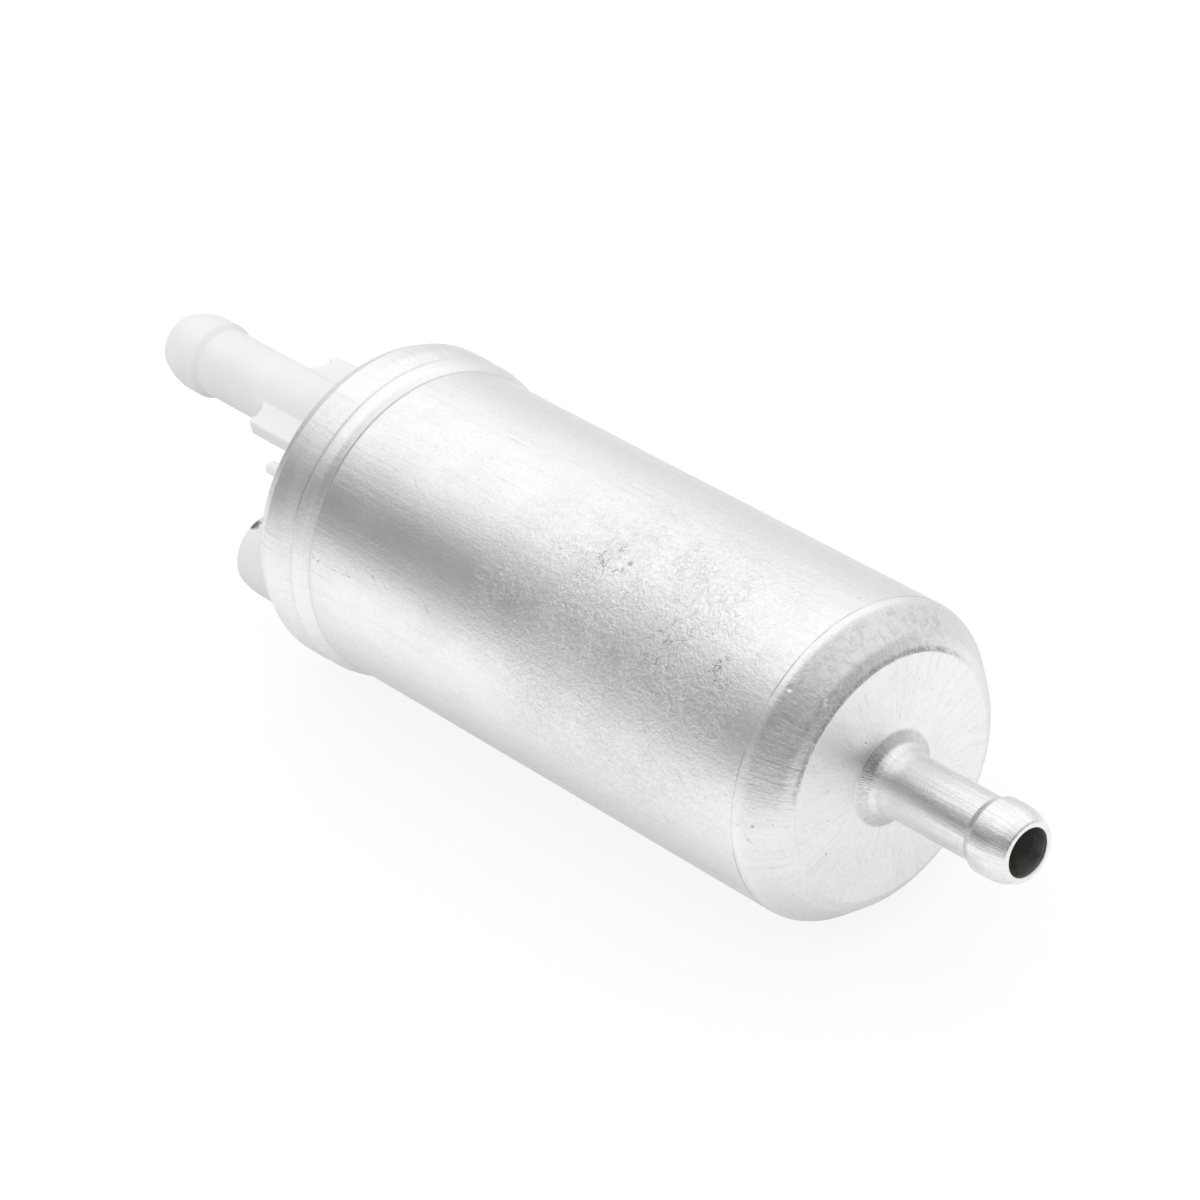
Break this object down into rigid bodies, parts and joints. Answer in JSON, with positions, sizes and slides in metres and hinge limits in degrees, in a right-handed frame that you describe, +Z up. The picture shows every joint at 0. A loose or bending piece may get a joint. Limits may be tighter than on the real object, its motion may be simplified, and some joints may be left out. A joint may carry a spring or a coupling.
{
  "type": "electric fuel pump",
  "caption": "Round in-line electric fuel pump: aluminium can with hose nipples at both ends, plug socket, gear-ring stage, motor and valves.",
  "frame": {"origin": "on the pump's axis, at the middle of the straight length of the can, where its clamp sits", "axes": "+X along the pump's axis towards the inlet nipple, +Z up through the outlet nipple's axis"},
  "size_m": [0.1393, 0.04, 0.04],
  "materials": {
    "can_aluminium": "bare drawn aluminium, satin, with fine draw lines and scuffs",
    "white_plastic": "moulded white acetal, satin",
    "dark_plastic": "glass-filled moulding, matte",
    "natural_plastic": "natural acetal, satin",
    "filter_mesh": "fine woven nylon mesh",
    "spring_steel": "bright spring wire",
    "ground_steel": "ground steel",
    "plate_aluminium": "machined aluminium",
    "flux_steel": "zinc-plated rolled steel",
    "lamination_steel": "stacked iron sheet",
    "magnet_ferrite": "sintered ferrite, matte",
    "copper": "varnished copper",
    "bush_bronze": "sintered bronze",
    "carbon": "pressed carbon",
    "seal_rubber": "black rubber",
    "terminal_brass": "tinned brass"
  },
  "bodies": {
    "housing": {"can": "can_aluminium", "strainer_frame": "natural_plastic", "strainer_mesh": "filter_mesh", "load_washer": "spring_steel", "inlet_plate": "plate_aluminium", "gear_housing": "plate_aluminium", "outlet_plate": "plate_aluminium", "stack_screws": "ground_steel", "relief_plug": "plate_aluminium", "relief_spring": "spring_steel", "flux_ring": "flux_steel", "magnet_upper": "magnet_ferrite", "magnet_lower": "magnet_ferrite", "magnet_clip_left": "spring_steel", "magnet_clip_right": "spring_steel", "bush_rear": "bush_bronze", "bush_front": "bush_bronze", "brush_holder": "dark_plastic", "brush_spring_left": "spring_steel", "brush_spring_right": "spring_steel", "brush_lead_left": "copper", "brush_lead_right": "copper", "end_cover": "white_plastic", "cover_seal": "seal_rubber", "outlet_valve_seat": "natural_plastic", "outlet_valve_spring": "spring_steel", "terminal_left": "terminal_brass", "terminal_right": "terminal_brass"},
    "armature": {"armature_shaft": "ground_steel", "laminations": "lamination_steel", "windings": "copper", "commutator_hub": "dark_plastic", "commutator_bars": "copper", "thrust_washer_rear": "dark_plastic", "thrust_washer_front": "dark_plastic", "inner_rotor": "ground_steel"},
    "gear_ring": {"gear_ring": "ground_steel"},
    "outlet_valve": {"outlet_valve_poppet": "natural_plastic"},
    "relief_valve": {"relief_ball": "ground_steel"},
    "left_brush": {"brush_left": "carbon"},
    "right_brush": {"brush_right": "carbon"}
  },
  "joints": [
    {"name": "armature_spin", "type": "hinge", "parent": "housing", "child": "armature", "pos_m": [0, 0, 0], "axis": [1, 0, 0], "continuous": true},
    {"name": "gear_ring_spin", "type": "hinge", "parent": "housing", "child": "gear_ring", "pos_m": [0, 0, 0.0009], "axis": [1, 0, 0], "continuous": true},
    {"name": "outlet_valve_lift", "type": "slide", "parent": "housing", "child": "outlet_valve", "axis": [-1, 0, 0], "range_m": [0, 0.002], "stiffness_N_per_m": 150, "springref_m": -0.002, "deforming": ["outlet_valve_spring"]},
    {"name": "relief_valve_lift", "type": "slide", "parent": "housing", "child": "relief_valve", "axis": [1, 0, 0], "range_m": [0, 0.0012], "stiffness_N_per_m": 1000, "springref_m": -0.0019, "deforming": ["relief_spring"]},
    {"name": "brush_left_slide", "type": "slide", "parent": "housing", "child": "left_brush", "axis": [0, 1, 0], "range_m": [0, 0.0015], "stiffness_N_per_m": 250, "springref_m": -0.003, "deforming": ["brush_spring_left", "brush_lead_left"]},
    {"name": "brush_right_slide", "type": "slide", "parent": "housing", "child": "right_brush", "axis": [0, -1, 0], "range_m": [0, 0.0015], "stiffness_N_per_m": 250, "springref_m": -0.003, "deforming": ["brush_spring_right", "brush_lead_right"]}
  ],
  "couplings": [
    {"joint": "gear_ring_spin", "follows": "armature_spin", "ratio": 0.85714}
  ]
}
